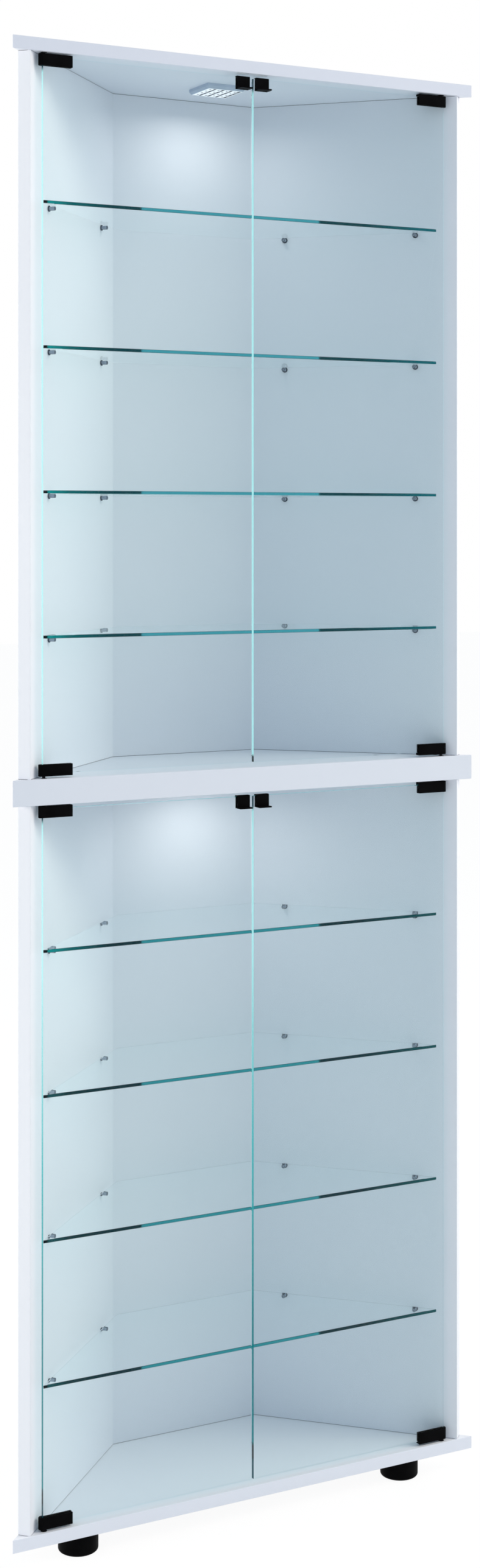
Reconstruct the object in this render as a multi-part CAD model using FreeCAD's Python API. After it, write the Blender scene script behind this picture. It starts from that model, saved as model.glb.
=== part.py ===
import FreeCAD, Part
import math
import os

# Corner curio cabinet. Three trapezoid boards carry two storeys of side and back panels, each storey
# has four glass shelves on pins, a square ceiling lamp and a pair of frameless glass pivot doors.
#
# Millimetres, +Z up. The front faces -Y, and the origin is the middle of the overall box on the floor.
# In plan, a place is given as x from the middle and depth behind the boards' front edge.

# ---- Boards and panels -------------------------------------------------------------------------
board_width = 662.0          # along the front edge
board_depth = 218.0          # front edge to back edge
board_thickness = 16.0       # top and base boards
middle_thickness = 32.0      # board between the storeys
panel_thickness = 16.0       # side and back panels
side_angle = 45.0            # degrees between the front edge and each sloping side
panel_setback = 0.5          # panels' front arris behind the boards' front edge
storey_height = 884.0        # clear height inside each storey
board_arris = 0.4            # chamfer along every edge of a board or panel

# ---- Feet --------------------------------------------------------------------------------------
foot_diameter = 50.0
foot_height = 25.0
foot_round = 3.0             # rounded bottom edge
foot_front_depth = 27.0      # centre of the front feet behind the front edge
foot_front_corner_gap = 98.0  # centre of the front feet to the board's front corner, along x
foot_back_gap = 33.0         # centre of the rear feet to the back edge
foot_back_corner_gap = 28.0  # centre of the rear feet to the board's back corner, along x
foot_screw_diameter = 4.0
foot_screw_head = 8.0        # head diameter
foot_screw_head_height = 3.0
foot_screw_length = 25.0     # under the head
foot_screw_play = 1.0        # radial, between the screw's head and its recess
foot_counterbore_depth = 12.0

# ---- Cam fittings and dowels that hold the panels between the boards ---------------------------
bolt_end_gap = 45.0          # fitting to each end of a panel's inner face
dowel_end_gap = 75.0
cam_diameter = 15.0
cam_height = 12.5
cam_end_gap = 34.0           # cam's centre to the panel's top or bottom end
bolt_thread_diameter = 6.0
bolt_thread_length = 11.0    # screwed into the board
bolt_shank_diameter = 5.0
bolt_head_diameter = 7.0
bolt_head_length = 6.0       # centred on the cam
dowel_diameter = 8.0
dowel_in_board = 11.0
dowel_in_panel = 21.0

# ---- Shelves and their pins --------------------------------------------------------------------
glass_thickness = 4.0        # doors and shelves
glass_arris = 0.3            # chamfer along every edge of a pane or shelf
shelf_count = 4              # in each storey
shelf_pitch = 177.3
shelf_first_top = 173.7      # top of the lowest shelf above the storey's floor
shelf_front_depth = 17.0     # front edge behind the boards' front edge
shelf_wall_gap = 4.8         # between the shelf's ends and the side panels
shelf_back_gap = 3.0
pin_front_station = 58.0     # along the side panel, from its front arris
pin_rear_station = 44.5      # along the side panel, from its inner rear corner
pin_diameter = 5.0
pin_reach = 9.0              # from the panel's face into the cabinet
pin_socket = 8.0             # length inside the panel
pin_flange_diameter = 7.5
pin_flange_thickness = 1.2
pin_chamfer = 0.6            # at both ends of the pin
pin_flange_chamfer = 0.3

# ---- Glass doors -------------------------------------------------------------------------------
door_setback = 5.2           # front face behind the boards' front edge
door_side_gap = 9.8          # outer edge of the glass to the side panel
door_meeting_gap = 2.0       # between the two doors
door_bottom_gap = 6.0        # to the board below
door_top_gap = 5.0           # to the board above

# ---- Pivot hinges: a channel clamped on the door's outer corners, top and bottom ---------------
hinge_length = 43.6
hinge_overhang = 4.6         # rounded outer end beyond the edge of the glass
hinge_front_wall = 1.2
hinge_rear_wall = 2.7
pivot_inset = 2.4            # pivot axis inside the edge of the glass
hinge_floor = 3.0            # web across the edge of the glass
hinge_grip = 11.0            # height of glass inside the channel
liner_thickness = 0.4        # beside the glass
liner_floor = 0.5            # under the edge of the glass
hinge_screw_diameter = 4.0
hinge_screw_stations = (9.0, 27.0)  # from the channel's inner end
hinge_pin_diameter = 4.0
hinge_pin_depth = 8.0        # inside the bushing
bushing_diameter = 8.0
bushing_floor = 1.0          # closed end of the bushing
hinge_edge_round = 0.5       # outer edges of the channel

# ---- Door pulls and the magnets above them -----------------------------------------------------
pull_width = 18.0
pull_edge_gap = 3.8          # to the door's free edge
pull_sheet = 1.5             # folded steel sheet
pull_bend = 1.3              # outer radius of the folds
pull_drop = 15.0             # front and rear leaves below the top edge of the glass
pull_lip = 9.0               # lip in front of the front leaf
pull_lip_round = 1.5         # corners of the lip
magnet_length = 16.0
magnet_width = 5.0
magnet_height = 4.0

# ---- Lamps -------------------------------------------------------------------------------------
lamp_width = 55.0            # at the ceiling
lamp_height = 7.0
lamp_wall_height = 3.7       # straight part of the side, above the chamfer
lamp_chamfer = 2.5           # taken off each side at the bottom
lamp_centre_depth = 105.5
lamp_wall = 3.3              # thickness of the side at the ceiling
lamp_rim = 4.1               # side to the first window
lamp_cells = 4               # windows along each side
lamp_bar = 1.2               # bar between two windows
lamp_face = 1.0              # thickness of the windowed face
lens_fit = 0.1               # between the lens's pads and the windows
diffuser_thickness = 2.0
lamp_board_thickness = 1.6

# ---- Clearances --------------------------------------------------------------------------------
fastener_fit = 0.05          # radial, round screws, dowels, pins and inserts
pivot_fit = 0.05             # radial and axial, between pivot pins and bushings
hole_end_gap = 0.3           # between the end of a dowel or screw and its hole

# ---- Derived places ----------------------------------------------------------------------------
slope = math.radians(side_angle)


def half_width(depth, inset=0.0):
    """Half the board's width at a depth, or that of a line parallel to the sloping side."""
    return board_width / 2 - depth / math.tan(slope) - inset / math.sin(slope)


inner_depth = board_depth - panel_thickness
base_top = foot_height + board_thickness
middle_bottom = base_top + storey_height
middle_top = middle_bottom + middle_thickness
top_bottom = middle_top + storey_height
storeys = {"lower": (base_top, middle_bottom), "upper": (middle_top, top_bottom)}
storey_boards = {"lower": ("base_panel", "middle_panel"), "upper": ("middle_panel", "top_panel")}

door_back = door_setback + glass_thickness
door_inner_x = door_meeting_gap / 2
door_outer_x = half_width(door_back, panel_thickness) - door_side_gap

hinge_outer_x = door_outer_x + hinge_overhang
hinge_inner_x = hinge_outer_x - hinge_length
liner_front = door_setback - liner_thickness
liner_back = door_back + liner_thickness
hinge_front = liner_front - hinge_front_wall
hinge_back = liner_back + hinge_rear_wall
hinge_depth = hinge_back - hinge_front
pivot_x = door_outer_x - pivot_inset
pivot_depth = (hinge_front + hinge_back) / 2
bushing_length = hinge_pin_depth + pivot_fit + bushing_floor

pull_front = door_setback - pull_sheet
pull_projection = pull_lip - pull_front
front_y = pull_projection - (board_depth + pull_projection) / 2

os.makedirs("parts", exist_ok=True)


# ---- Helpers -----------------------------------------------------------------------------------
def place(x, depth, z):
    return FreeCAD.Vector(x, front_y + depth, z)


def prism(outline, bottom, top):
    corners = [place(x, depth, bottom) for x, depth in outline]
    face = Part.Face(Part.makePolygon(corners + corners[:1]))
    return face.extrude(FreeCAD.Vector(0, 0, top - bottom))


def block(x0, x1, depth0, depth1, bottom, top):
    return prism([(x0, depth0), (x1, depth0), (x1, depth1), (x0, depth1)], bottom, top)


def rod(x, depth, z, diameter, length, heading=(0, 0, 1)):
    return Part.makeCylinder(diameter / 2, length, place(x, depth, z), FreeCAD.Vector(*heading))


def turned(profile, x, depth, z, heading):
    """Solid turned from (radius, height) points, its axis set along the heading at a place."""
    points = [FreeCAD.Vector(radius, 0, height) for radius, height in profile]
    face = Part.Face(Part.makePolygon(points + points[:1]))
    solid = face.revolve(FreeCAD.Vector(0, 0, 0), FreeCAD.Vector(0, 0, 1), 360)
    turn = FreeCAD.Rotation(FreeCAD.Vector(0, 0, 1), FreeCAD.Vector(*heading))
    solid.Placement = FreeCAD.Placement(place(x, depth, z), turn)
    return solid


def arrissed(solid, size):
    """The solid with all its edges chamfered."""
    return solid.makeChamfer(size, solid.Edges)


def mirrored(shape):
    return shape.mirror(FreeCAD.Vector(0, 0, 0), FreeCAD.Vector(1, 0, 0))


def hand(shape, side):
    return mirrored(shape) if side == "left" else shape


def upended(shape, bottom, top):
    """The same piece turned over between the two levels."""
    return shape.mirror(FreeCAD.Vector(0, 0, (bottom + top) / 2), FreeCAD.Vector(0, 0, 1))


def save(name, *solids):
    shape = solids[0] if len(solids) == 1 else Part.makeCompound(list(solids))
    shape.exportStep(os.path.join("parts", name + ".step"))


# ---- Walls in plan -----------------------------------------------------------------------------
class Wall:
    """A vertical panel in plan: where its inner face starts, and which way it runs and looks out."""

    def __init__(self, start, along, outward, length):
        self.start = start
        self.along = along
        self.outward = outward
        self.length = length

    def spot(self, station, into):
        """Plan place at a distance along the inner face and a distance into the panel."""
        return tuple(s + a * station + o * into for s, a, o in zip(self.start, self.along, self.outward))

    def stations(self, end_gap):
        return end_gap, self.length - end_gap


side_length = (inner_depth - panel_setback) / math.sin(slope)
side_start_x = half_width(panel_setback, panel_thickness)
back_half = half_width(inner_depth, panel_thickness)
walls = {
    "left_side_panel": Wall((-side_start_x, panel_setback), (math.cos(slope), math.sin(slope)),
                            (-math.sin(slope), math.cos(slope)), side_length),
    "right_side_panel": Wall((side_start_x, panel_setback), (-math.cos(slope), math.sin(slope)),
                             (math.sin(slope), math.cos(slope)), side_length),
    "back_panel": Wall((-back_half, inner_depth), (1.0, 0.0), (0.0, 1.0), 2 * back_half),
}
cabinet_outline = [(-half_width(0), 0), (half_width(0), 0),
                   (half_width(board_depth), board_depth), (-half_width(board_depth), board_depth)]


def panel_outline(name):
    if name == "back_panel":
        front = half_width(inner_depth)
        back = half_width(board_depth)
        return [(-front, inner_depth), (front, inner_depth), (back, board_depth), (-back, board_depth)]
    wall = walls[name]
    sign = math.copysign(1, wall.start[0])
    return [wall.spot(0, 0), wall.spot(0, panel_thickness), (sign * half_width(inner_depth), inner_depth),
            wall.spot(wall.length, 0)]


# ---- Cam fittings, dowels and shelf pins -------------------------------------------------------
def cam_bolt(x, depth, seat, way):
    """Bolt screwed into a board at level seat and standing up (way 1) or down (way -1) from it."""
    shank = cam_end_gap - bolt_head_length / 2
    heading = (0, 0, way)
    thread = rod(x, depth, seat - way * bolt_thread_length, bolt_thread_diameter, bolt_thread_length, heading)
    neck = rod(x, depth, seat, bolt_shank_diameter, shank, heading)
    head = rod(x, depth, seat + way * shank, bolt_head_diameter, bolt_head_length, heading)
    return thread.fuse([neck, head]).removeSplitter()


def cam_lock(wall, station, seat, way):
    """Round cam let into the panel's outer face, with a bore in its rim for the bolt's head."""
    centre = seat + way * cam_end_gap
    heading = (*(-o for o in wall.outward), 0)
    body = rod(*wall.spot(station, panel_thickness), centre, cam_diameter, cam_height, heading)
    bore = rod(*wall.spot(station, panel_thickness / 2), centre - way * cam_diameter,
               bolt_head_diameter + 2 * fastener_fit, cam_diameter + bolt_head_length / 2 + hole_end_gap,
               (0, 0, way))
    return body.cut(bore)


def fittings(seat, way, wall):
    """Bolts, cams and dowels at one end of a panel, with the holes for its board and for the panel."""
    bolts, cams, dowels, board_holes, panel_holes = [], [], [], [], []
    middle = panel_thickness / 2
    up = (0, 0, way)
    down = (0, 0, -way)
    for station in wall.stations(bolt_end_gap):
        x, depth = wall.spot(station, middle)
        bolts.append(cam_bolt(x, depth, seat, way))
        cams.append(cam_lock(wall, station, seat, way))
        board_holes.append(rod(x, depth, seat, bolt_thread_diameter + 2 * fastener_fit,
                               bolt_thread_length + hole_end_gap, down))
        panel_holes.append(rod(x, depth, seat, bolt_head_diameter + 2 * fastener_fit, cam_end_gap, up))
        panel_holes.append(rod(*wall.spot(station, panel_thickness), seat + way * cam_end_gap,
                               cam_diameter + 2 * fastener_fit, cam_height + hole_end_gap,
                               (*(-o for o in wall.outward), 0)))
    for station in wall.stations(dowel_end_gap):
        x, depth = wall.spot(station, middle)
        hole = dowel_diameter + 2 * fastener_fit
        dowels.append(rod(x, depth, seat - way * dowel_in_board, dowel_diameter,
                          dowel_in_board + dowel_in_panel, up))
        board_holes.append(rod(x, depth, seat, hole, dowel_in_board + hole_end_gap, down))
        panel_holes.append(rod(x, depth, seat, hole, dowel_in_panel + hole_end_gap, up))
    return bolts, cams, dowels, board_holes, panel_holes


def shelf_tops(floor):
    return [floor + shelf_first_top + n * shelf_pitch for n in range(shelf_count)]


def pin_places(wall):
    return pin_front_station, wall.length - pin_rear_station


def shelf_pin(wall, station, level):
    """Pin pushed into the panel, with a flange against its face; the shelf lies on the pin's top."""
    radius = pin_diameter / 2
    rim = pin_flange_diameter / 2
    profile = [(0, -pin_socket), (radius - pin_chamfer, -pin_socket), (radius, pin_chamfer - pin_socket),
               (radius, 0), (rim, 0), (rim, pin_flange_thickness - pin_flange_chamfer),
               (rim - pin_flange_chamfer, pin_flange_thickness), (radius, pin_flange_thickness),
               (radius, pin_reach - pin_chamfer), (radius - pin_chamfer, pin_reach), (0, pin_reach)]
    return turned(profile, *wall.spot(station, 0), level, (*(-o for o in wall.outward), 0))


def pin_hole(wall, station, level):
    return rod(*wall.spot(station, 0), level, pin_diameter + 2 * fastener_fit, pin_socket + hole_end_gap,
               (*wall.outward, 0))


def pin_levels(floor):
    return [top - glass_thickness - pin_diameter / 2 for top in shelf_tops(floor)]


# ---- Panels, with their fittings collected on the way ------------------------------------------
all_bolts, all_cams, all_dowels = [], [], []
holes = {"base_panel": [], "middle_panel": [], "top_panel": []}
for storey, (floor, ceiling) in storeys.items():
    below, above = storey_boards[storey]
    storey_pins = []
    for name, wall in walls.items():
        panel_cuts = []
        for board, seat, way in ((below, floor, 1), (above, ceiling, -1)):
            bolts, cams, dowels, board_holes, panel_holes = fittings(seat, way, wall)
            all_bolts += bolts
            all_cams += cams
            all_dowels += dowels
            holes[board] += board_holes
            panel_cuts += panel_holes
        if name != "back_panel":
            for level in pin_levels(floor):
                for station in pin_places(wall):
                    storey_pins.append(shelf_pin(wall, station, level))
                    panel_cuts.append(pin_hole(wall, station, level))
        panel = arrissed(prism(panel_outline(name), floor, ceiling), board_arris)
        save(f"{storey}_{name}", panel.cut(panel_cuts))
    save(f"{storey}_shelf_pins", *storey_pins)
save("cam_bolts", *all_bolts)
save("cam_locks", *all_cams)
save("wood_dowels", *all_dowels)


# ---- Glass shelves -----------------------------------------------------------------------------
def shelf(top):
    back = inner_depth - shelf_back_gap
    inset = panel_thickness + shelf_wall_gap
    outline = [(-half_width(shelf_front_depth, inset), shelf_front_depth),
               (half_width(shelf_front_depth, inset), shelf_front_depth),
               (half_width(back, inset), back), (-half_width(back, inset), back)]
    return arrissed(prism(outline, top - glass_thickness, top), glass_arris)


for storey, (floor, ceiling) in storeys.items():
    for number, top in enumerate(shelf_tops(floor), start=1):
        save(f"{storey}_shelf_{number}", shelf(top))


# ---- Pivot hinges ------------------------------------------------------------------------------
class DoorEnd:
    """Top or bottom end of a door, in levels that hold with that end turned to the bottom."""

    def __init__(self, glass_bottom, board_face, turned):
        self.glass_bottom = glass_bottom
        self.glass_in_hinge_top = glass_bottom + hinge_grip
        self.hinge_floor_top = glass_bottom - liner_floor
        self.hinge_bottom = glass_bottom - liner_floor - hinge_floor
        self.board_face = board_face
        self.turned = turned


def both_ends(make, floor, ceiling, side):
    """A right-hand piece made at the door's bottom and top ends, on the asked side."""
    top_glass_upended = floor + door_top_gap
    ends = (DoorEnd(floor + door_bottom_gap, floor, False), DoorEnd(top_glass_upended, floor, True))
    pieces = []
    for end in ends:
        piece = make(end)
        pieces.append(hand(upended(piece, floor, ceiling) if end.turned else piece, side))
    return pieces


def liner_slot(end):
    """Slot in the hinge that the folded liner fills."""
    return block(hinge_inner_x, door_outer_x, liner_front, liner_back, end.hinge_floor_top,
                 end.glass_in_hinge_top)


def hinge_body(end):
    """Channel under a right-hand door's outer corner: round outer end, slot for glass and liner."""
    round_x = hinge_outer_x - hinge_depth / 2
    straight = block(hinge_inner_x, round_x, hinge_front, hinge_back, end.hinge_bottom,
                     end.glass_in_hinge_top)
    rounded = rod(round_x, pivot_depth, end.hinge_bottom, hinge_depth,
                  end.glass_in_hinge_top - end.hinge_bottom)
    cuts = [liner_slot(end),
            rod(pivot_x, pivot_depth, end.hinge_bottom, hinge_pin_diameter + 2 * fastener_fit, hinge_floor)]
    cuts += [hinge_screw(end, station, fastener_fit) for station in hinge_screw_stations]
    outside = straight.fuse(rounded).removeSplitter()
    rims = [edge for edge in outside.Edges
            if edge.BoundBox.ZLength < 1e-6 or edge.BoundBox.XMax < hinge_inner_x + 1e-6]
    return outside.makeFillet(hinge_edge_round, rims).cut(cuts)


def hinge_screw(end, station, growth=0.0):
    """Clamping screw through the channel's rear wall, or the hole for it with a growth."""
    return rod(hinge_inner_x + station, liner_back, end.glass_bottom + hinge_grip / 2,
               hinge_screw_diameter + 2 * growth, hinge_rear_wall, (0, 1, 0))


def hinge_liner(end):
    """Folded liner that keeps the metal off the glass."""
    return liner_slot(end).cut(block(hinge_inner_x, door_outer_x, door_setback, door_back, end.glass_bottom,
                                     end.glass_in_hinge_top))


def hinge_pin(end):
    """Pin from the channel's web down into the bushing in the board."""
    bottom = end.board_face - hinge_pin_depth
    return rod(pivot_x, pivot_depth, bottom, hinge_pin_diameter, end.hinge_floor_top - bottom)


def bushing(end):
    """Cup let into the board's face, open towards the door."""
    bottom = end.board_face - bushing_length
    cup = rod(pivot_x, pivot_depth, bottom, bushing_diameter, bushing_length)
    bore = rod(pivot_x, pivot_depth, bottom + bushing_floor, hinge_pin_diameter + 2 * pivot_fit,
               bushing_length - bushing_floor)
    return cup.cut(bore)


def bushing_hole(end):
    return rod(pivot_x, pivot_depth, end.board_face - bushing_length, bushing_diameter + 2 * fastener_fit,
               bushing_length)


# ---- Door pulls and magnets --------------------------------------------------------------------
def door_pull(glass_top):
    """Folded steel clip over the top edge of a right-hand door, with a finger lip in front."""
    x0 = door_inner_x + pull_edge_gap
    x1 = x0 + pull_width
    bottom = glass_top - pull_drop
    hood = block(x0, x1, pull_front, door_back + pull_sheet, bottom, glass_top + pull_sheet)
    bends = [edge for edge in hood.Edges
             if abs(edge.BoundBox.ZMin - glass_top - pull_sheet) < 1e-6 and edge.BoundBox.XLength > 1]
    hood = hood.makeFillet(pull_bend, bends)
    lip = block(x0, x1, pull_front - pull_lip, pull_front, bottom, bottom + pull_sheet)
    corners = [edge for edge in lip.Edges
               if edge.BoundBox.ZLength > 1e-6 and edge.CenterOfMass.y < front_y + pull_front - pull_lip / 2]
    lip = lip.makeFillet(pull_lip_round, corners)
    glass = block(x0, x1, door_setback, door_back, bottom, glass_top)
    return hood.fuse(lip).cut(glass).removeSplitter()


def magnet(ceiling, growth=0.0):
    """Bar magnet let into the board above a right-hand door's pull, or its pocket with a growth."""
    x = door_inner_x + pull_edge_gap + pull_width / 2
    depth = (door_setback + door_back) / 2
    half_length = magnet_length / 2 + growth
    half_across = magnet_width / 2 + growth
    return block(x - half_length, x + half_length, depth - half_across, depth + half_across, ceiling,
                 ceiling + magnet_height)


# ---- Doors, their hinges, bushings and magnets -------------------------------------------------
bushings, magnets = [], []
for storey, (floor, ceiling) in storeys.items():
    for side in ("left", "right"):
        door = f"{storey}_{side}"
        glass_top = ceiling - door_top_gap
        glass = block(door_inner_x, door_outer_x, door_setback, door_back, floor + door_bottom_gap, glass_top)
        save(f"{door}_door_glass", hand(arrissed(glass, glass_arris), side))
        save(f"{door}_hinge_bodies", *both_ends(hinge_body, floor, ceiling, side))
        save(f"{door}_hinge_liners", *both_ends(hinge_liner, floor, ceiling, side))
        save(f"{door}_hinge_pins", *both_ends(hinge_pin, floor, ceiling, side))
        screws = []
        for station in hinge_screw_stations:
            screws += both_ends(lambda end: hinge_screw(end, station), floor, ceiling, side)
        save(f"{door}_hinge_screws", *screws)
        save(f"{door}_door_pull", hand(door_pull(glass_top), side))
        bushings += both_ends(bushing, floor, ceiling, side)
        magnets.append(hand(magnet(ceiling), side))
        below, above = storey_boards[storey]
        low_hole, high_hole = both_ends(bushing_hole, floor, ceiling, side)
        holes[below].append(low_hole)
        holes[above] += [high_hole, hand(magnet(ceiling, fastener_fit), side)]
save("hinge_bushings", *bushings)
save("door_magnets", *magnets)


# ---- Lamps -------------------------------------------------------------------------------------
lamp_cavity = lamp_width - 2 * lamp_wall
lamp_filling = lamp_cavity - 2 * fastener_fit


def square(width, z):
    half = width / 2
    corners = [place(x, lamp_centre_depth + y, z) for x, y in ((-half, -half), (half, -half), (half, half),
                                                              (-half, half))]
    return Part.makePolygon(corners + corners[:1])


def plate(width, bottom, top):
    return Part.Face(square(width, bottom)).extrude(FreeCAD.Vector(0, 0, top - bottom))


def windows(bottom, top, shrink):
    """Blocks that fill the grid of windows, each side drawn in by a clearance."""
    windowed = lamp_width - 2 * lamp_rim
    window = (windowed - (lamp_cells - 1) * lamp_bar) / lamp_cells
    starts = [n * (window + lamp_bar) - windowed / 2 + shrink for n in range(lamp_cells)]
    size = window - 2 * shrink
    blocks = []
    for x in starts:
        for y in starts:
            depth = lamp_centre_depth + y
            blocks.append(block(x, x + size, depth, depth + size, bottom, top))
    return blocks


def lamp_housing(ceiling):
    """Square tray with a chamfered face that is pierced by a grid of windows."""
    face = ceiling - lamp_height
    shoulder = ceiling - lamp_wall_height
    lower_half = [square(lamp_width - 2 * lamp_chamfer, face), square(lamp_width, shoulder)]
    body = plate(lamp_width, shoulder, ceiling).fuse(Part.makeLoft(lower_half, True))
    cavity = plate(lamp_cavity, face + lamp_face, ceiling)
    return body.cut([cavity] + windows(face, face + lamp_face, 0.0)).removeSplitter()


def lamp_lens(ceiling):
    """Opal plate laid in the tray, with a pad that fills each window."""
    face = ceiling - lamp_height
    back = face + lamp_face
    pads = windows(face, back, lens_fit)
    return plate(lamp_filling, back, back + diffuser_thickness).fuse(pads).removeSplitter()


for storey, (floor, ceiling) in storeys.items():
    save(f"{storey}_lamp_housing", lamp_housing(ceiling))
    save(f"{storey}_lamp_diffuser", lamp_lens(ceiling))
    save(f"{storey}_lamp_board", plate(lamp_filling, ceiling - lamp_board_thickness, ceiling))


# ---- Feet and their screws ---------------------------------------------------------------------
def foot(x, depth):
    body = rod(x, depth, 0, foot_diameter, foot_height)
    rim = [edge for edge in body.Edges if abs(edge.BoundBox.ZMax) < 1e-6]
    body = body.makeFillet(foot_round, rim)
    recess = rod(x, depth, 0, foot_screw_head + 2 * foot_screw_play, foot_counterbore_depth)
    hole = rod(x, depth, 0, foot_screw_diameter + 2 * fastener_fit, foot_height)
    return body.cut([recess, hole])


def foot_screw(x, depth):
    head_bottom = foot_counterbore_depth - foot_screw_head_height
    head = rod(x, depth, head_bottom, foot_screw_head, foot_screw_head_height)
    shank = rod(x, depth, foot_counterbore_depth, foot_screw_diameter, foot_screw_length)
    return head.fuse(shank)


foot_places = []
for sign in (-1, 1):
    foot_places.append((sign * (half_width(0) - foot_front_corner_gap), foot_front_depth))
    foot_places.append((sign * (half_width(board_depth) - foot_back_corner_gap), board_depth - foot_back_gap))
save("feet", *[foot(x, depth) for x, depth in foot_places])
save("foot_screws", *[foot_screw(x, depth) for x, depth in foot_places])
screw_in_board = foot_screw_length - (foot_height - foot_counterbore_depth)
holes["base_panel"] += [rod(x, depth, foot_height, foot_screw_diameter + 2 * fastener_fit,
                            screw_in_board + hole_end_gap) for x, depth in foot_places]

# ---- Boards ------------------------------------------------------------------------------------
for name, bottom, thickness in (("base_panel", foot_height, board_thickness),
                                ("middle_panel", middle_bottom, middle_thickness),
                                ("top_panel", top_bottom, board_thickness)):
    board = arrissed(prism(cabinet_outline, bottom, bottom + thickness), board_arris)
    save(name, board.cut(holes[name]))
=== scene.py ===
import math

import bpy
from mathutils import Matrix, Vector


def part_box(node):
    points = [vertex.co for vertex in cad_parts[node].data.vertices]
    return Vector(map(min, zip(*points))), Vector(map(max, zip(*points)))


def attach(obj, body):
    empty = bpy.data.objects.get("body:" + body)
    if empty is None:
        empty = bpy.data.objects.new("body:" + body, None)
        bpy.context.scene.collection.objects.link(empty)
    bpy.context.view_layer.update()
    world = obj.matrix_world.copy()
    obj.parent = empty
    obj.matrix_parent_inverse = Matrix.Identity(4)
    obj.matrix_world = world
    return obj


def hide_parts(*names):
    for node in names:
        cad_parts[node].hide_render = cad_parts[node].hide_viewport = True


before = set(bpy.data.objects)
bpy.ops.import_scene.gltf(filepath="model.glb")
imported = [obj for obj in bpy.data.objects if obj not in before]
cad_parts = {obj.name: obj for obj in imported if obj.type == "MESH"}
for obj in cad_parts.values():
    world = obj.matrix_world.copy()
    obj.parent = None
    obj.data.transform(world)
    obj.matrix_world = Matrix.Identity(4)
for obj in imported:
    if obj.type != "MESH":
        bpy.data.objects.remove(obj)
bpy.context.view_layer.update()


# ---- Camera ------------------------------------------------------------------------------------
# A level view from the left at chest height. Its frame is shifted down, so that the cabinet's
# uprights stay upright while the underside of the top board and the feet are both in view.
bpy.ops.object.select_all(action="DESELECT")
bpy.ops.object.camera_add(location=(-1.3384, -2.59785, 1.2612),
                          rotation=(math.radians(90), 0, math.radians(-27.866)))
camera = bpy.context.object
camera.name = "camera"
camera.data.sensor_width = 36
camera.data.lens = 50.93
camera.data.shift_y = -0.1629
camera.data.clip_end = 60
bpy.context.scene.camera = camera
bpy.context.scene.view_settings.view_transform = "Standard"


# ---- Studio ------------------------------------------------------------------------------------
# A white room without corners, with an even sky. Two soft lamps on the right light the inner face
# of the left side and the floors, and a low one far round on the left lights the left side's end.
SKY_COLOUR = (0.78, 0.90, 0.99, 1)
SKY_STRENGTH = 0.655

world = bpy.data.worlds.new("studio_sky")
bpy.context.scene.world = world
world.use_nodes = True
nodes = world.node_tree.nodes
sky = nodes["Background"]
sky.inputs["Color"].default_value = SKY_COLOUR
sky.inputs["Strength"].default_value = SKY_STRENGTH
backdrop = nodes.new("ShaderNodeBackground")
backdrop.inputs["Color"].default_value = (1, 1, 1, 1)


def feed(socket, source):
    """Links the source to the socket."""
    socket.id_data.links.new(source, socket)


def reckoned(nodes, operation, *values):
    """What a Math node makes of the values, each of them a number or a source."""
    step = nodes.new("ShaderNodeMath")
    step.operation = operation
    for socket, value in zip(step.inputs, values):
        if isinstance(value, (int, float)):
            socket.default_value = value
        else:
            feed(socket, value)
    return step.outputs[0]


def times(nodes, one, other):
    """The two values multiplied, so one where both of them are one."""
    return reckoned(nodes, "MULTIPLY", one, other)


def either(nodes, *sources):
    """The largest of the values, so one where any of them is one."""
    largest = sources[0]
    for source in sources[1:]:
        largest = reckoned(nodes, "MAXIMUM", largest, source)
    return largest


def rays(nodes, *kinds):
    """One for rays of these kinds."""
    light_path = nodes.new("ShaderNodeLightPath")
    return either(nodes, *[light_path.outputs[f"Is {kind} Ray"] for kind in kinds])


def shared(nodes, share, first, second):
    """The first shader, and the second one where the share is one."""
    mix = nodes.new("ShaderNodeMixShader")
    feed(mix.inputs[0], share)
    feed(mix.inputs[1], first.outputs[0])
    feed(mix.inputs[2], second.outputs[0])
    return mix


room = shared(nodes, rays(nodes, "Camera", "Glossy", "Transmission"), sky, backdrop)
feed(nodes["World Output"].inputs["Surface"], room.outputs[0])


def new_material(name):
    """A new material with its nodes and its main shader."""
    material = bpy.data.materials.new(name)
    material.use_nodes = True
    nodes = material.node_tree.nodes
    return material, nodes, nodes["Principled BSDF"]


# The floor lies a little below the feet. Most of what is seen of it is plain white, and the rest
# is paint that takes the object's shadow.
FLOOR_WIDTH = 40
FLOOR_LEVEL = -0.0005
FLOOR_WHITE = 1.03
FLOOR_WHITE_SHARE = 0.9

bpy.ops.mesh.primitive_plane_add(size=FLOOR_WIDTH, location=(0, 0, FLOOR_LEVEL))
floor = bpy.context.object
floor.name = "studio_floor"
paint, nodes, shader = new_material("studio_floor_paint")
shader.inputs["Base Color"].default_value = (0.9, 0.9, 0.9, 1)
shader.inputs["Roughness"].default_value = 0.9
white = nodes.new("ShaderNodeEmission")
white.inputs["Strength"].default_value = FLOOR_WHITE
seen = times(nodes, rays(nodes, "Camera", "Glossy", "Transmission"), FLOOR_WHITE_SHARE)
feed(nodes["Material Output"].inputs["Surface"], shared(nodes, seen, shader, white).outputs[0])
floor.data.materials.append(paint)


def unseen(lamp):
    """Hides the lamp itself, but not its light."""
    lamp.visible_camera = False
    lamp.visible_glossy = False
    lamp.visible_transmission = False


SOFT_LAMP_DISTANCE = 5
SOFT_LAMP_WIDTH = 2.5
LIT_MIDDLE = Vector((0, 0, 0.95))

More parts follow.
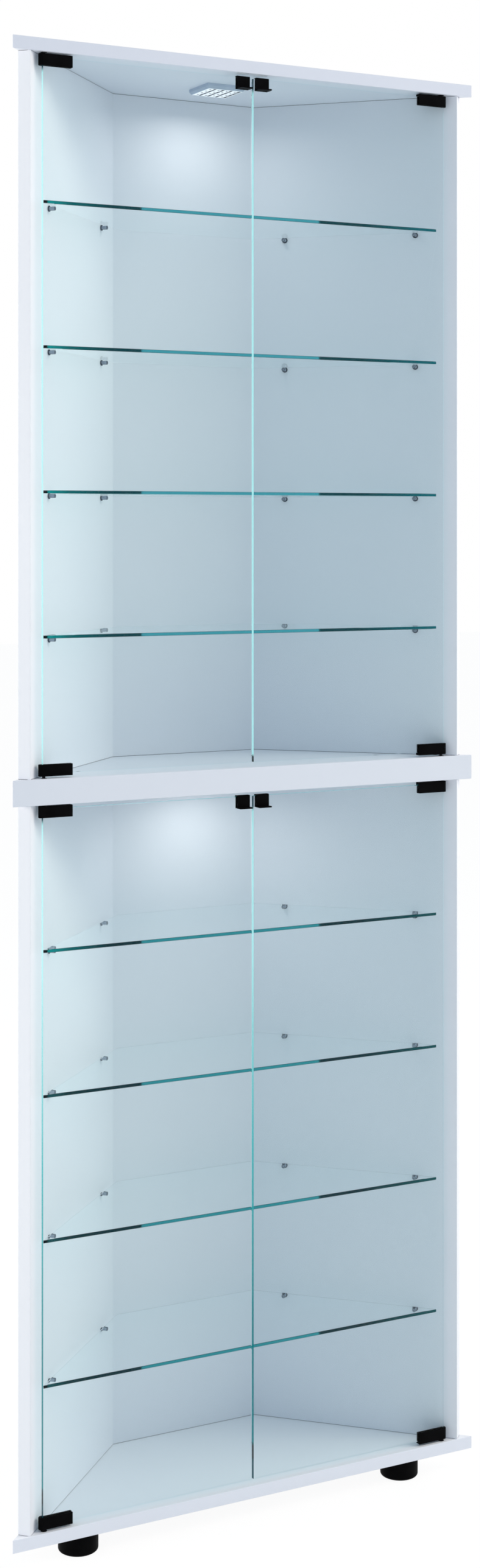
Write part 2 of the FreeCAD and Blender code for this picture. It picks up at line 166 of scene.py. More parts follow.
for side, azimuth, height, power, colour in (("right", 70, 2.4, 98, (1, 0.93, 0.83)),
                                             ("high_right", 52, 5.0, 122, (1, 0.84, 0.66)),
                                             ("left", -100, 1.5, 160, (1, 0.90, 0.77))):
    turn = math.radians(azimuth)
    bpy.ops.object.light_add(type="AREA", location=(SOFT_LAMP_DISTANCE * math.sin(turn),
                                                    -SOFT_LAMP_DISTANCE * math.cos(turn), height))
    lamp = bpy.context.object
    lamp.name = "soft_lamp_" + side
    lamp.data.shape = "DISK"
    lamp.data.size = SOFT_LAMP_WIDTH
    lamp.data.energy = power
    lamp.data.color = colour
    lamp.rotation_euler = (LIT_MIDDLE - lamp.location).to_track_quat("-Z", "Y").to_euler()
    unseen(lamp)


# ---- Boards and panels -------------------------------------------------------------------------
# Chipboard faced with white melamine, the boards' front edges closed with a slightly greyer strip,
# whose grey is partly painted shade: darker on the top and middle boards, lighter on the base.
# The facing has a very fine pearl grain. Cam fittings and dowels pull panels and boards together,
# and the thin joint between them is painted on the panels as a dark line of shade.
def noise(nodes, scale, detail=2.0, stretch=(1, 1, 1)):
    """Noise on the piece's own coordinates, in features per metre."""
    coordinates = nodes.new("ShaderNodeTexCoord")
    mapping = nodes.new("ShaderNodeMapping")
    mapping.inputs["Scale"].default_value = stretch
    texture = nodes.new("ShaderNodeTexNoise")
    texture.inputs["Scale"].default_value = scale
    texture.inputs["Detail"].default_value = detail
    feed(mapping.inputs["Vector"], coordinates.outputs["Object"])
    feed(texture.inputs["Vector"], mapping.outputs["Vector"])
    return texture.outputs["Fac"]


def stops(nodes, source, colours):
    """The colour that the value picks from a strip of colours, given as (place, colour)."""
    made = nodes.new("ShaderNodeValToRGB")
    strip = made.color_ramp.elements
    while len(strip) < len(colours):
        strip.new(0.5)
    for element, (position, colour) in zip(strip, colours):
        element.position = position
        element.color = (*colour, 1)
    feed(made.inputs["Fac"], source)
    return made.outputs["Color"]


def between(nodes, source, low, high):
    """The value, which runs from nought to one, spread between two numbers."""
    made = nodes.new("ShaderNodeMapRange")
    made.inputs["To Min"].default_value = low
    made.inputs["To Max"].default_value = high
    feed(made.inputs["Value"], source)
    return made.outputs["Result"]


def raised(nodes, shader, source, strength, height):
    """Raises the surface by the value."""
    made = nodes.new("ShaderNodeBump")
    made.inputs["Strength"].default_value = strength
    made.inputs["Distance"].default_value = height
    feed(made.inputs["Height"], source)
    feed(shader.inputs["Normal"], made.outputs["Normal"])


def plain_finish(name, dark, light, grain, rough, bump, metallic=0, specular=0.5):
    """A finish between two close colours.

    grain is how fine the colour's pattern is, rough the lowest and the highest roughness, and
    bump how fine, how strong and how high the surface's own pattern is.
    """
    material, nodes, shader = new_material(name)
    shader.inputs["Metallic"].default_value = metallic
    shader.inputs["Specular IOR Level"].default_value = specular
    colour = stops(nodes, noise(nodes, grain), [(0.35, dark), (0.65, light)])
    feed(shader.inputs["Base Color"], colour)
    feed(shader.inputs["Roughness"], between(nodes, noise(nodes, grain * 6), *rough))
    fineness, strength, height = bump
    raised(nodes, shader, noise(nodes, fineness), strength, height)
    return material


def dress(material, *names):
    """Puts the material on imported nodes."""
    for name in names:
        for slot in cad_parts[name].material_slots:
            slot.material = material


def within(nodes, source, low, high):
    """One where the value lies between the two numbers."""
    return reckoned(nodes, "COMPARE", source, (low + high) / 2, (high - low) / 2)


def own(nodes, kind, axis):
    """The piece's own place, or its own normal, along one axis."""
    coordinates = nodes.new("ShaderNodeTexCoord")
    split = nodes.new("ShaderNodeSeparateXYZ")
    feed(split.inputs[0], coordinates.outputs[kind])
    return split.outputs[axis]


def looking(nodes, axis, way, least=0.6):
    """One on faces that look along the axis, forwards for a way of 1 and back for -1."""
    low, high = sorted((way * least, way * 1.1))
    return within(nodes, own(nodes, "Normal", axis), low, high)


def tinted(nodes, share, first, second):
    """The first colour, and the second one where the share is one."""
    made = nodes.new("ShaderNodeMix")
    made.data_type = "RGBA"
    feed(made.inputs["Factor"], share)
    for socket, colour in ((made.inputs["A"], first), (made.inputs["B"], second)):
        if isinstance(colour, tuple):
            socket.default_value = (*colour, 1)
        else:
            feed(socket, colour)
    return made.outputs["Result"]


def overpaint(material, where, colour):
    """Gives the material the colour wherever where(nodes) is one."""
    nodes = material.node_tree.nodes
    base = nodes["Principled BSDF"].inputs["Base Color"]
    feed(base, tinted(nodes, where(nodes), base.links[0].from_socket, colour))


def melamine(name, dark=(0.775, 0.80, 0.875), light=(0.80, 0.825, 0.895)):
    """White melamine in the whites given for each piece."""
    return plain_finish(name, dark, light, grain=2.5, rough=(0.36, 0.46), bump=(1400, 0.12, 0.0001))


# Each board's front faces take a greyer colour, partly edging and partly painted shade, strongest
# on the top board.
for name, dark, light, strip_shade_colour in (
        ("base_panel", (0.83, 0.85, 0.92), (0.86, 0.88, 0.94), (0.80, 0.83, 0.93)),
        ("middle_panel", (0.80, 0.825, 0.91), (0.83, 0.85, 0.93), (0.73, 0.77, 0.865)),
        ("top_panel", (0.80, 0.83, 0.92), (0.83, 0.855, 0.94), (0.71, 0.745, 0.855))):
    facing = melamine(name + "_melamine", dark, light)
    overpaint(facing, lambda nodes: looking(nodes, "Y", -1), strip_shade_colour)
    dress(facing, name)

HALF_JOINT = 0.0005
# The joint line is painted shade in the groove between panel and board.
PAINTED_JOINT_SHADE = (0.05, 0.06, 0.075)
FRONT_STRIP = 0.003


def joints(nodes, storey):
    """One on the painted shade line where a storey's panels meet the boards, but not on their own
    front strip.
    """
    low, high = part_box(storey + "_back_panel")
    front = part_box("base_panel")[0].y
    height = own(nodes, "Object", "Z")
    ends = either(nodes, within(nodes, height, low.z - HALF_JOINT, low.z + HALF_JOINT),
                  within(nodes, height, high.z - HALF_JOINT, high.z + HALF_JOINT))
    behind_strip = within(nodes, own(nodes, "Object", "Y"), front + FRONT_STRIP, high.y)
    return times(nodes, ends, behind_strip)


for storey in ("lower", "upper"):
    facing = melamine(storey + "_panel_melamine")
    overpaint(facing, lambda nodes: joints(nodes, storey), PAINTED_JOINT_SHADE)
    for panel in ("left_side", "right_side", "back"):
        dress(facing, f"{storey}_{panel}_panel")


# ---- Feet --------------------------------------------------------------------------------------
# Round glides of black moulded nylon. Each is held by a zinc-plated pan-head screw, whose head
# with its cross recess sits up in a counterbore.
nylon = plain_finish("black_nylon", (0.0012, 0.0012, 0.0015), (0.0024, 0.0024, 0.0028), grain=60,
                     rough=(0.5, 0.62), bump=(900, 0.25, 0.0001), specular=0.03)
dress(nylon, "feet")
zinc = plain_finish("zinc_plated_steel", (0.5, 0.51, 0.53), (0.62, 0.63, 0.65), grain=300,
                    rough=(0.25, 0.4), bump=(2500, 0.15, 0.00005), metallic=1)


def seats(name):
    """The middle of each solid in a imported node, read from a copy that is then removed."""
    bpy.ops.object.select_all(action="DESELECT")
    bpy.context.view_layer.objects.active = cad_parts[name]
    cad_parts[name].select_set(True)
    bpy.ops.object.duplicate()
    bpy.ops.object.mode_set(mode="EDIT")
    bpy.ops.mesh.select_all(action="SELECT")
    bpy.ops.mesh.remove_doubles(threshold=0.00001)
    bpy.ops.mesh.separate(type="LOOSE")
    bpy.ops.object.mode_set(mode="OBJECT")
    middles = [sum((Vector(corner) for corner in solid.bound_box), Vector()) / 8
               for solid in bpy.context.selected_objects]
    bpy.ops.object.delete()
    return middles


def pick(piece, chosen):
    """Selects only the faces for which chosen(face) is true, and stays in edit mode."""
    bpy.ops.object.mode_set(mode="OBJECT")
    for vertex in piece.data.vertices:
        vertex.select = False
    for edge in piece.data.edges:
        edge.select = False
    for face in piece.data.polygons:
        face.select = chosen(face)
    bpy.ops.object.mode_set(mode="EDIT")
    bpy.ops.mesh.select_mode(type="FACE")


def turned_blank(name, radius, bottom, top, sides):
    """A plain round bar along Z to start a piece from, alone in the selection, in edit mode."""
    bpy.ops.object.select_all(action="DESELECT")
    bpy.ops.mesh.primitive_cylinder_add(vertices=sides, radius=radius, depth=top - bottom,
                                        location=(0, 0, (top + bottom) / 2))
    bpy.ops.object.transform_apply()
    piece = bpy.context.object
    piece.name = name
    bpy.ops.object.mode_set(mode="EDIT")
    return piece


def facing_up(face):
    """True for a face that looks straight up."""
    return face.normal.z > 0.99


def upright(face):
    """True for a face that stands upright."""
    return abs(face.normal.z) < 0.1


def sink(depth):
    """Moves the chosen faces straight down, with walls around them."""
    bpy.ops.mesh.extrude_region_move(TRANSFORM_OT_translate={"value": (0, 0, -depth)})


def cut_out(piece, *cutters):
    """Cuts the cutters out of the piece and removes them."""
    for cutter in cutters:
        bpy.context.view_layer.objects.active = piece
        cut = piece.modifiers.new("cut", "BOOLEAN")
        cut.object = cutter
        cut.solver = "EXACT"
        bpy.ops.object.modifier_apply(modifier=cut.name)
        bpy.data.objects.remove(cutter)


def bar(size, level):
    """A square bar with the three sizes, its middle on the Z axis at the level."""
    bpy.ops.object.select_all(action="DESELECT")
    bpy.ops.mesh.primitive_cube_add(size=1, location=(0, 0, level))
    bpy.context.object.scale = size
    bpy.ops.object.transform_apply()
    return bpy.context.object


def cross_recess(piece, length, width, deep, level):
    """Sinks a cross for a screwdriver into the face at the level, wider in its middle."""
    heart = length * 0.45
    cut_out(piece, bar((length, width, 2 * deep), level), bar((width, length, 2 * deep), level),
            bar((heart, heart, 1.2 * deep), level))


def set_out(pattern, name, places, body, replaced):
    """Copies the pattern to each place, a matrix, and joins the copies to stand for a node."""
    copies = []
    for place in places:
        copy = pattern.copy()
        copy.data = pattern.data.copy()
        bpy.context.collection.objects.link(copy)
        copy.data.transform(place)
        copies.append(copy)
    bpy.ops.object.select_all(action="DESELECT")
    for copy in copies:
        copy.select_set(True)
    bpy.context.view_layer.objects.active = copies[0]
    bpy.ops.object.join()
    piece = copies[0]
    piece.name = name
    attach(piece, body)
    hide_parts(replaced)


HEAD_RADIUS = 0.004
HEAD_HEIGHT = 0.003
HEAD_ROUNDING = 0.0012
SHANK_RADIUS = 0.002
SHANK_LENGTH = 0.0242
POINT = 0.0008

pattern = turned_blank("foot_screw_pattern", HEAD_RADIUS, -HEAD_HEIGHT, 0, 40)
pick(pattern, facing_up)
bpy.ops.mesh.bevel(offset=HEAD_ROUNDING, segments=4, affect="EDGES")
pick(pattern, lambda face: face.normal.z < -0.9)
bpy.ops.mesh.inset(thickness=HEAD_RADIUS - SHANK_RADIUS)
sink(SHANK_LENGTH)
bpy.ops.mesh.inset(thickness=POINT)
bpy.ops.transform.translate(value=(0, 0, -POINT))
bpy.ops.object.mode_set(mode="OBJECT")
cross_recess(pattern, length=0.0046, width=0.0009, deep=0.0016, level=0)
pattern.data.materials.append(zinc)

head_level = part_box("foot_screws")[0].z
head_down = Matrix.Rotation(math.radians(180), 4, "X")
places = [Matrix.Translation((middle.x, middle.y, head_level)) @ head_down
          for middle in seats("foot_screws")]
set_out(pattern, "pan_head_foot_screws", places, "cabinet", "foot_screws")
bpy.data.objects.remove(pattern)


# ---- Cam fittings and dowels -------------------------------------------------------------------
# Die-cast zinc cams sit flush in the outer faces of the panels. Each is turned with a cross-head
# driver and grips the head of a steel bolt that stands in the board. Beech dowels keep the place.
CAM_RADIUS = 0.0075
CAM_HEIGHT = 0.0125
CAM_ARRIS = 0.0004
CAM_RIM = 0.0012
CAM_FACE_SUNK = 0.0004
BOLT_BORE_RADIUS = 0.00355
BOLT_BORE_LENGTH = 0.0105
BOLT_BORE_LEVEL = -0.008


def smoothed(pattern, degrees, *materials):
    """Smooths the pattern except over sharper edges, and gives it its materials."""
    bpy.context.view_layer.objects.active = pattern
    pattern.select_set(True)
    bpy.ops.object.shade_smooth_by_angle(angle=math.radians(degrees))
    for material in materials:
        pattern.data.materials.append(material)


def turned_to(side_way, face_way):
    """The turn that points a pattern's Z axis along face_way and its Y axis along side_way."""
    return Matrix((side_way.cross(face_way), side_way, face_way)).transposed().to_4x4()


pattern = turned_blank("cam_pattern", CAM_RADIUS, -CAM_HEIGHT, 0, 48)
pick(pattern, facing_up)
bpy.ops.mesh.bevel(offset=CAM_ARRIS, segments=2, affect="EDGES")
pick(pattern, facing_up)
bpy.ops.mesh.inset(thickness=CAM_RIM)
sink(CAM_FACE_SUNK)
bpy.ops.object.mode_set(mode="OBJECT")
cross_recess(pattern, length=0.0066, width=0.0013, deep=0.004, level=-CAM_FACE_SUNK)
bpy.ops.object.select_all(action="DESELECT")
bpy.ops.mesh.primitive_cylinder_add(vertices=32, radius=BOLT_BORE_RADIUS, depth=BOLT_BORE_LENGTH,
                                    location=(0, BOLT_BORE_LENGTH / 2, BOLT_BORE_LEVEL),
                                    rotation=(math.radians(90), 0, 0))
bpy.ops.object.transform_apply()
cut_out(pattern, bpy.context.object)
smoothed(pattern, 35, zinc)

BACK_PANEL_CAMS_WITHIN = 0.1
places = []
for middle in seats("cam_locks"):
    storey = "lower" if middle.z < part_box("middle_panel")[0].z else "upper"
    low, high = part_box(storey + "_back_panel")
    bolt_way = Vector((0, 0, 1 if middle.z > (low.z + high.z) / 2 else -1))
    sideways = 0 if abs(middle.x) < BACK_PANEL_CAMS_WITHIN else math.copysign(1, middle.x)
    outward = Vector((sideways, 1, 0)).normalized()
    places.append(Matrix.Translation(middle + outward * CAM_HEIGHT / 2)
                  @ turned_to(bolt_way, outward))
set_out(pattern, "die_cast_cams", places, "cabinet", "cam_locks")
bpy.data.objects.remove(pattern)
dress(zinc, "cam_bolts")

beech, nodes, shader = new_material("beech_dowel")
grain = noise(nodes, 500, 4, (1, 1, 0.06))
beech_colour = stops(nodes, grain, [(0.3, (0.42, 0.25, 0.13)), (0.7, (0.62, 0.42, 0.25))])
feed(shader.inputs["Base Color"], beech_colour)
feed(shader.inputs["Roughness"], between(nodes, noise(nodes, 900), 0.6, 0.8))
raised(nodes, shader, grain, 0.3, 0.0002)
dress(beech, "wood_dowels")


# ---- Lamps -------------------------------------------------------------------------------------
# A square plastic tray screwed under each ceiling, its sides painted grey-blue as painted shade.
# Its white face, which has a painted glow, has sixteen windows over one glowing lens. In each
# window a light-emitting diode shows, and beside it a dark slit that is a painted shadow of the
# window's wall.
LAMP_CELL = 0.012
LAMP_WINDOW = 0.0108
LAMP_CELLS = 4
# In each window a dark slit is painted as the shadow of the window's wall.
PAINTED_SHADOW_SLIT = ((0.0072, 0.0110), (0.0000, 0.0106))
DIODE = ((0.0022, 0.0054), (0.0034, 0.0072))

low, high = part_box("upper_lamp_housing")
lamp_middle = (low + high) / 2
to_first_window = LAMP_CELLS * LAMP_CELL / 2 - (LAMP_CELL - LAMP_WINDOW) / 2


def in_cell(nodes, axis, middle):
    """Distance from the near side of the lamp's window, along the axis."""
    offset = reckoned(nodes, "SUBTRACT", own(nodes, "Object", axis), middle - to_first_window)
    return reckoned(nodes, "MODULO", offset, LAMP_CELL)


def in_windows(nodes, across, along):
    """One on a rectangle in every window, given by its ends along X and along Y."""
    return times(nodes, within(nodes, in_cell(nodes, "X", lamp_middle.x), *across),
                 within(nodes, in_cell(nodes, "Y", lamp_middle.y), *along))


shell = plain_finish("lamp_shell_painted_shade", (0.46, 0.54, 0.67), (0.50, 0.58, 0.71), grain=60,
                     rough=(0.35, 0.5), bump=(1200, 0.15, 0.00005))
# The tray's face is white, and its grey-blue sides are painted shade.
overpaint(shell, lambda nodes: looking(nodes, "Z", -1, 0.9), (0.88, 0.9, 0.92))
nodes = shell.node_tree.nodes
shader = nodes["Principled BSDF"]
# The face gets a painted glow, though it is no lamp.
painted_glow_face = tinted(nodes, looking(nodes, "Z", -1, 0.9), (0, 0, 0), (0.9, 0.95, 1.0))
feed(shader.inputs["Emission Color"], painted_glow_face)
shader.inputs["Emission Strength"].default_value = 0.35

lens, nodes, shader = new_material("glowing_lens")
# The dark slits are painted shadow, and they do not glow.
painted_shadow_slits = tinted(nodes, in_windows(nodes, *PAINTED_SHADOW_SLIT), (0.72, 0.76, 0.80), (0.002, 0.002, 0.008))
glow = tinted(nodes, in_windows(nodes, *DIODE), painted_shadow_slits, (0.05, 0.048, 0.052))
feed(shader.inputs["Base Color"], glow)
feed(shader.inputs["Emission Color"], glow)
shader.inputs["Emission Strength"].default_value = 0.8
feed(shader.inputs["Roughness"], between(nodes, noise(nodes, 300), 0.25, 0.35))
shader.inputs["Specular IOR Level"].default_value = 0.1

fibre = plain_finish("white_circuit_board", (0.72, 0.74, 0.74), (0.8, 0.81, 0.8), grain=150,
                     rough=(0.4, 0.55), bump=(1800, 0.2, 0.00005))

LIGHT_BELOW_FACE = 0.001
for storey in ("lower", "upper"):
    dress(shell, storey + "_lamp_housing")
    dress(lens, storey + "_lamp_diffuser")
    dress(fibre, storey + "_lamp_board")
    face_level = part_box(storey + "_lamp_housing")[0].z
    bpy.ops.object.light_add(type="AREA",
                             location=(*lamp_middle.xy, face_level - LIGHT_BELOW_FACE))
    lamp = bpy.context.object
    lamp.name = storey + "_lamp_light"
    lamp.data.shape = "SQUARE"
    lamp.data.size = LAMP_CELLS * LAMP_CELL
    lamp.data.spread = math.radians(165)
    lamp.data.energy = 0.135
    lamp.data.color = (1.0, 0.98, 0.90)
    unseen(lamp)


# ---- Shelf pins --------------------------------------------------------------------------------
# Turned pins of clear plastic, pushed into holes in the side panels, with a smoky collar against
# the panel and a dimple in the tip. Their upper and lower sides and the rim of the tip are painted
# with the smoky plastic as painted shade.
clear_plastic = plain_finish("clear_grey_plastic", (0.24, 0.29, 0.37), (0.32, 0.38, 0.47),
                             grain=500, rough=(0.12, 0.2), bump=(3000, 0.1, 0.00003))
smoky_plastic_and_painted_shade = plain_finish("smoky_plastic_and_painted_shade", (0.02, 0.034, 0.058), (0.035, 0.055, 0.09),
                             grain=500, rough=(0.15, 0.25), bump=(3000, 0.1, 0.00003))
PIN_RADIUS = 0.0025
PIN_SOCKET = 0.008
PIN_REACH = 0.009
COLLAR_WIDTH = 0.0012
COLLAR_PROUD = 0.00125
COLLAR_MARGIN = 0.0001
TIP_ROUNDING = 0.0006
DIMPLE_RIM = 0.0006
DIMPLE_DEPTH = 0.0007
DIMPLE_TAPER = 0.7


def pick_tip(piece):
    """Selects only the highest face, and stays in edit mode."""
    bpy.ops.object.mode_set(mode="OBJECT")
    tip = max(piece.data.polygons, key=lambda face: face.center.z).index
    pick(piece, lambda face: face.index == tip)


pattern = turned_blank("shelf_pin_pattern", PIN_RADIUS, -PIN_SOCKET, PIN_REACH, 24)
for level in (0, COLLAR_WIDTH):
    bpy.ops.mesh.select_all(action="SELECT")
    bpy.ops.mesh.bisect(plane_co=(0, 0, level), plane_no=(0, 0, 1))
pick(pattern, lambda face: upright(face) and 0 < face.center.z < COLLAR_WIDTH)
bpy.ops.mesh.extrude_region_shrink_fatten(TRANSFORM_OT_shrink_fatten={"value": COLLAR_PROUD})
pick_tip(pattern)
bpy.ops.mesh.bevel(offset=TIP_ROUNDING, segments=2, affect="EDGES")
pick_tip(pattern)
bpy.ops.mesh.inset(thickness=DIMPLE_RIM)
sink(DIMPLE_DEPTH)
bpy.ops.transform.resize(value=(DIMPLE_TAPER, DIMPLE_TAPER, 1))
bpy.ops.object.mode_set(mode="OBJECT")
smoothed(pattern, 30, clear_plastic, smoky_plastic_and_painted_shade)
# The collar is smoky plastic; the tip's rim and the upper and lower sides take it as painted shade.
for face in pattern.data.polygons:
    collar = -COLLAR_MARGIN < face.center.z < COLLAR_WIDTH + COLLAR_MARGIN
    rim = 0.3 < face.normal.z < 0.95
    painted_dark_above_or_below = upright(face) and abs(face.normal.y) > 0.8
    face.material_index = int(collar or rim or painted_dark_above_or_below)

for storey in ("lower", "upper"):
    places = []
    for middle in seats(storey + "_shelf_pins"):
        inward = Vector((-math.copysign(1, middle.x), -1, 0)).normalized()
        places.append(Matrix.Translation(middle - inward * (PIN_REACH - PIN_SOCKET) / 2)
                      @ turned_to(Vector((0, 0, 1)), inward))
    set_out(pattern, storey + "_turned_pins", places, "cabinet",
            storey + "_shelf_pins")
bpy.data.objects.remove(pattern)


# ---- Glass shelves -----------------------------------------------------------------------------
# Clear float glass, 4 mm thick, with ground and polished edges, laid loose on the pins. Through
# the pane it is almost colourless. The front edge is painted in the glass's own teal with painted
# light and shade and a painted glow: pale where the light comes in from the back edge, and deep
# where it has crossed the pane from the sides.
GLASS_IOR = 1.52
GLASS_MIRRORING = (0.1, 0.1, 0.1, 1)
GLASS_INNER_COLOUR = (0.3, 0.86, 0.84, 1)
GLASS_INNER_DENSITY = 8
PAINTED_EDGE_GLOW = 0.18
GROUND_EDGE_ROUGHNESS = 0.5


def opposite(nodes, source):
    """One where the value is nought, and nought where it is one."""
    return reckoned(nodes, "SUBTRACT", 1, source)


def float_glass(name, edge, edge_painted_light, way_out, tint, lamp_tint, unmirrored=0):
    """Clear glass whose edge has a colour of its own, with painted light and shade and a painted
    glow.

    edge(nodes) is one on the faces that have the colour edge_painted_light(nodes), and
    way_out(nodes) on those that let rays out of the pane unbent. tint colours what is seen through
    the pane, and lamp_tint the light that falls through it. unmirrored is the share of the clear
    faces that only bends rays and mirrors nothing.
    """
    material, nodes, shader = new_material(name)
    from_inside = nodes.new("ShaderNodeNewGeometry").outputs["Backfacing"]
    on_edge = times(nodes, edge(nodes), opposite(nodes, from_inside))
    clear = opposite(nodes, on_edge)
    colour = edge_painted_light(nodes)
    ground = times(nodes, times(nodes, on_edge, noise(nodes, 800)), GROUND_EDGE_ROUGHNESS)
    shader.inputs["IOR"].default_value = GLASS_IOR
    shader.inputs["Specular Tint"].default_value = GLASS_MIRRORING
    # The coloured edges get a painted glow, though the glass is no lamp.
    shader.inputs["Emission Strength"].default_value = PAINTED_EDGE_GLOW
    feed(shader.inputs["Base Color"], tinted(nodes, on_edge, tint, colour))
    feed(shader.inputs["Emission Color"], tinted(nodes, on_edge, (0, 0, 0), colour))
    feed(shader.inputs["Transmission Weight"], clear)
    feed(shader.inputs["Roughness"], ground)
    pane = shader
    if unmirrored:
        bending = nodes.new("ShaderNodeBsdfRefraction")
        bending.inputs["IOR"].default_value = GLASS_IOR
        bending.inputs["Roughness"].default_value = 0
        pane = shared(nodes, times(nodes, clear, unmirrored), shader, bending)

    # Light from the lamps and the panels passes straight through. So do rays that leave by the
    # edges, and all that meets the small arrises.
    passing = nodes.new("ShaderNodeBsdfTransparent")
    passing.inputs["Color"].default_value = (*lamp_tint, 1)
    leaving = times(nodes, way_out(nodes), from_inside)
    slope = own(nodes, "Normal", "Z")
    arris = either(nodes, within(nodes, slope, -0.9, -0.4), within(nodes, slope, 0.4, 0.9))
    let_through = either(nodes, rays(nodes, "Shadow", "Diffuse"), leaving, arris)
    whole = shared(nodes, let_through, pane, passing)
    feed(nodes["Material Output"].inputs["Surface"], whole.outputs[0])

    inner = nodes.new("ShaderNodeVolumeAbsorption")
    inner.inputs["Color"].default_value = GLASS_INNER_COLOUR
    inner.inputs["Density"].default_value = GLASS_INNER_DENSITY
    feed(nodes["Material Output"].inputs["Volume"], inner.outputs[0])
    return material


def along(nodes, axis, low, high):
    """Runs from nought to one between two places along the axis of the piece."""
    made = nodes.new("ShaderNodeMapRange")
    made.inputs["From Min"].default_value = low
    made.inputs["From Max"].default_value = high
    feed(made.inputs["Value"], own(nodes, "Object", axis))
    return made.outputs["Result"]


NEAR_BLACK_SHADE = (0.0, 0.004, 0.006)
DEEP_TEAL_SHADE = {"lower": (0.001, 0.024, 0.033), "upper": (0.001, 0.044, 0.056)}
PALE_TEAL_LIGHT = {"lower": (0.025, 0.23, 0.27), "upper": (0.048, 0.285, 0.35)}
RIGHT_TIP_SHADE = {"lower": (0.001, 0.07, 0.08), "upper": (0.001, 0.12, 0.15)}
LIT_LEFT_END = [(0.012, (0.0, 0.25, 0.25)), (0.06, (0.0, 0.115, 0.125))]
SHADED_LEFT_END = [(0.012, (0.006, 0.075, 0.085)), (0.06, (0.002, 0.030, 0.036))]
LEFT_DEEP_FROM, LEFT_DEEP_TO = 0.15, 0.232
PALE_FROM, PALE_TO = 0.235, 0.681
RIGHT_DEEP_FROM, RIGHT_DEEP_TO = 0.684, 0.80
UNBENT_SHARE = 0.88


def shelf_front_painted_light(nodes, storey, left_end):
    """The front edge's teal with its painted light and shade, from the left end to the right one.
    """
    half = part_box("upper_shelf_1")[1].x
    return stops(nodes, along(nodes, "X", -half, half), [
        (0.0, NEAR_BLACK_SHADE), (0.010, NEAR_BLACK_SHADE), *left_end,
        (LEFT_DEEP_FROM, DEEP_TEAL_SHADE[storey]), (LEFT_DEEP_TO, DEEP_TEAL_SHADE[storey]),
        (PALE_FROM, PALE_TEAL_LIGHT[storey]), (PALE_TO, PALE_TEAL_LIGHT[storey]),
        (RIGHT_DEEP_FROM, DEEP_TEAL_SHADE[storey]), (RIGHT_DEEP_TO, DEEP_TEAL_SHADE[storey]),
        (1.0, RIGHT_TIP_SHADE[storey])])


def shelf_way_out(nodes):
    """Nearly one on the upright edges of a shelf."""
    upright_edge = within(nodes, own(nodes, "Normal", "Z"), -0.3, 0.3)
    return times(nodes, upright_edge, UNBENT_SHARE)


for storey in ("lower", "upper"):
    for number in range(1, 5):
        left_end = SHADED_LEFT_END if storey == "lower" and number < 4 else LIT_LEFT_END
        shelf_glass = float_glass(
            f"{storey}_shelf_{number}_glass",
            edge=lambda nodes: looking(nodes, "Y", -1),
            edge_painted_light=lambda nodes: shelf_front_painted_light(nodes, storey, left_end),
            way_out=shelf_way_out,
            tint=(1, 1, 1), lamp_tint=(0.985, 0.994, 0.994), unmirrored=0.75)
        dress(shelf_glass, f"{storey}_shelf_{number}")


# ---- Glass doors -------------------------------------------------------------------------------
# Frameless panes of the same glass, held only by their hinges. Their upright edges are painted
# teal with light and a painted glow, as if they gathered the light of the whole pane: less towards
# the floor, with painted shade behind hinges and pulls.
TOP_EDGE_LIT_TEAL = (0.10, 0.55, 0.60)
GLOWING = (0.54, 0.98, 0.97)
HALF_LIT = (0.06, 0.50, 0.51)
DIM = (0.0, 0.20, 0.22)
SHADED = (0.0, 0.05, 0.07)
UPRIGHT_EDGE_PAINTED_LIGHT = {
    "lower": [(0.0, SHADED), (0.028, SHADED), (0.030, NEAR_BLACK_SHADE), (0.050, NEAR_BLACK_SHADE),
              (0.053, DIM), (0.22, DIM), (0.50, HALF_LIT), (0.78, GLOWING), (0.979, GLOWING),
              (0.983, SHADED), (1.0, SHADED)],
    "upper": [(0.0, NEAR_BLACK_SHADE), (0.009, NEAR_BLACK_SHADE), (0.012, GLOWING), (0.979, GLOWING),
              (0.983, SHADED), (1.0, SHADED)],
}


def seen_edge(nodes):
    """One on the left, the right and the top edge of a pane."""
    return either(nodes, looking(nodes, "X", 1), looking(nodes, "X", -1), looking(nodes, "Z", 1))


def any_edge(nodes):
    """One on all four edges of a pane."""
    return within(nodes, own(nodes, "Normal", "Y"), -0.4, 0.4)


def door_edge_painted_light(nodes, storey):
    """The upright edges' painted light and shade from the bottom to the top, and the top edge's lit
    teal.
    """
    low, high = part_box(storey + "_left_door_glass")
    upright = stops(nodes, along(nodes, "Z", low.z, high.z), UPRIGHT_EDGE_PAINTED_LIGHT[storey])
    return tinted(nodes, looking(nodes, "Z", 1), upright, TOP_EDGE_LIT_TEAL)


for storey in ("lower", "upper"):
    door_glass = float_glass(
        storey + "_door_glass",
        edge=seen_edge,
        edge_painted_light=lambda nodes: door_edge_painted_light(nodes, storey),
        way_out=any_edge,
        tint=(0.97, 0.97, 0.975), lamp_tint=(0.94, 0.975, 0.98))
    dress(door_glass, storey + "_left_door_glass", storey + "_right_door_glass")


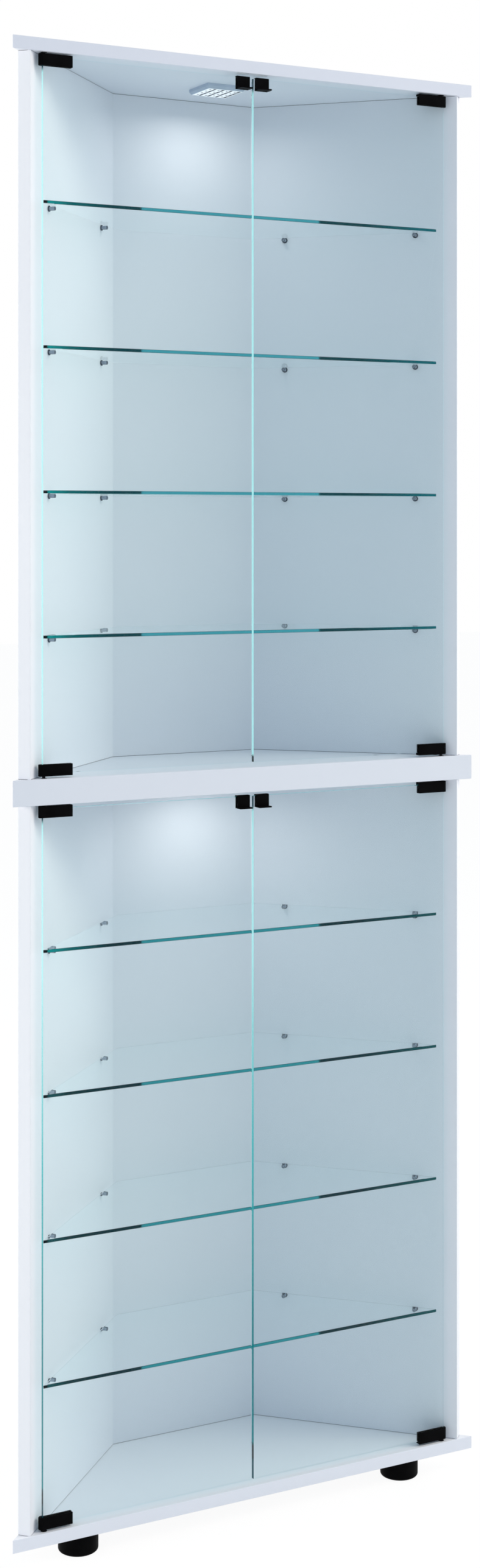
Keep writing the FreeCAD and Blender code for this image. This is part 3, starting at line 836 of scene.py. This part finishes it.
# ---- Pivot hinges ------------------------------------------------------------------------------
# Channels of black powder-coated steel clamp the doors' outer corners over a folded rubber liner.
# Two set screws with a hexagon socket press through each rear wall, and a blackened steel pin
# turns in a nylon bushing in the board.
coat = plain_finish("black_powder_coat", (0.0012, 0.0012, 0.0016), (0.0026, 0.0026, 0.0032),
                    grain=40, rough=(0.42, 0.55), bump=(2200, 0.12, 0.00004), specular=0.03)
blackened = plain_finish("blackened_steel", (0.010, 0.010, 0.012), (0.022, 0.022, 0.026),
                         grain=300, rough=(0.3, 0.42), bump=(2500, 0.15, 0.00005), metallic=1)
rubber = plain_finish("black_rubber", (0.002, 0.002, 0.002), (0.004, 0.004, 0.004), grain=90,
                      rough=(0.7, 0.85), bump=(1500, 0.2, 0.00005), specular=0.1)
dress(nylon, "hinge_bushings")

SET_SCREW_RADIUS = 0.002
SET_SCREW_LENGTH = 0.0027
SET_SCREW_ARRIS = 0.0002
SOCKET_RADIUS = 0.00116
SOCKET_DEPTH = 0.0015

pattern = turned_blank("set_screw_pattern", SET_SCREW_RADIUS, -SET_SCREW_LENGTH, 0, 32)
pick(pattern, facing_up)
bpy.ops.mesh.bevel(offset=SET_SCREW_ARRIS, segments=2, affect="EDGES")
bpy.ops.object.mode_set(mode="OBJECT")
bpy.ops.object.select_all(action="DESELECT")
bpy.ops.mesh.primitive_cylinder_add(vertices=6, radius=SOCKET_RADIUS, depth=2 * SOCKET_DEPTH,
                                    location=(0, 0, 0))
cut_out(pattern, bpy.context.object)
smoothed(pattern, 35, coat)

socket_back = Matrix.Rotation(math.radians(-90), 4, "X")
for storey in ("lower", "upper"):
    for side in ("left", "right"):
        door = f"{storey}_{side}"
        dress(coat, door + "_hinge_bodies")
        dress(rubber, door + "_hinge_liners")
        dress(blackened, door + "_hinge_pins")
        places = [Matrix.Translation(middle + Vector((0, SET_SCREW_LENGTH / 2, 0))) @ socket_back
                  for middle in seats(door + "_hinge_screws")]
        set_out(pattern, door + "_set_screws", places, door + "_door",
                door + "_hinge_screws")
bpy.data.objects.remove(pattern)


# ---- Door pulls and magnets --------------------------------------------------------------------
# A clip of folded black steel sits over the top edge of each door, with a finger lip in front. The
# nickel-plated magnet above it in the board holds the door shut.
nickel = plain_finish("nickel_plate", (0.55, 0.53, 0.49), (0.64, 0.62, 0.58), grain=200,
                      rough=(0.12, 0.22), bump=(1800, 0.08, 0.00003), metallic=1)
for storey in ("lower", "upper"):
    for side in ("left", "right"):
        dress(coat, f"{storey}_{side}_door_pull")
dress(nickel, "door_magnets")
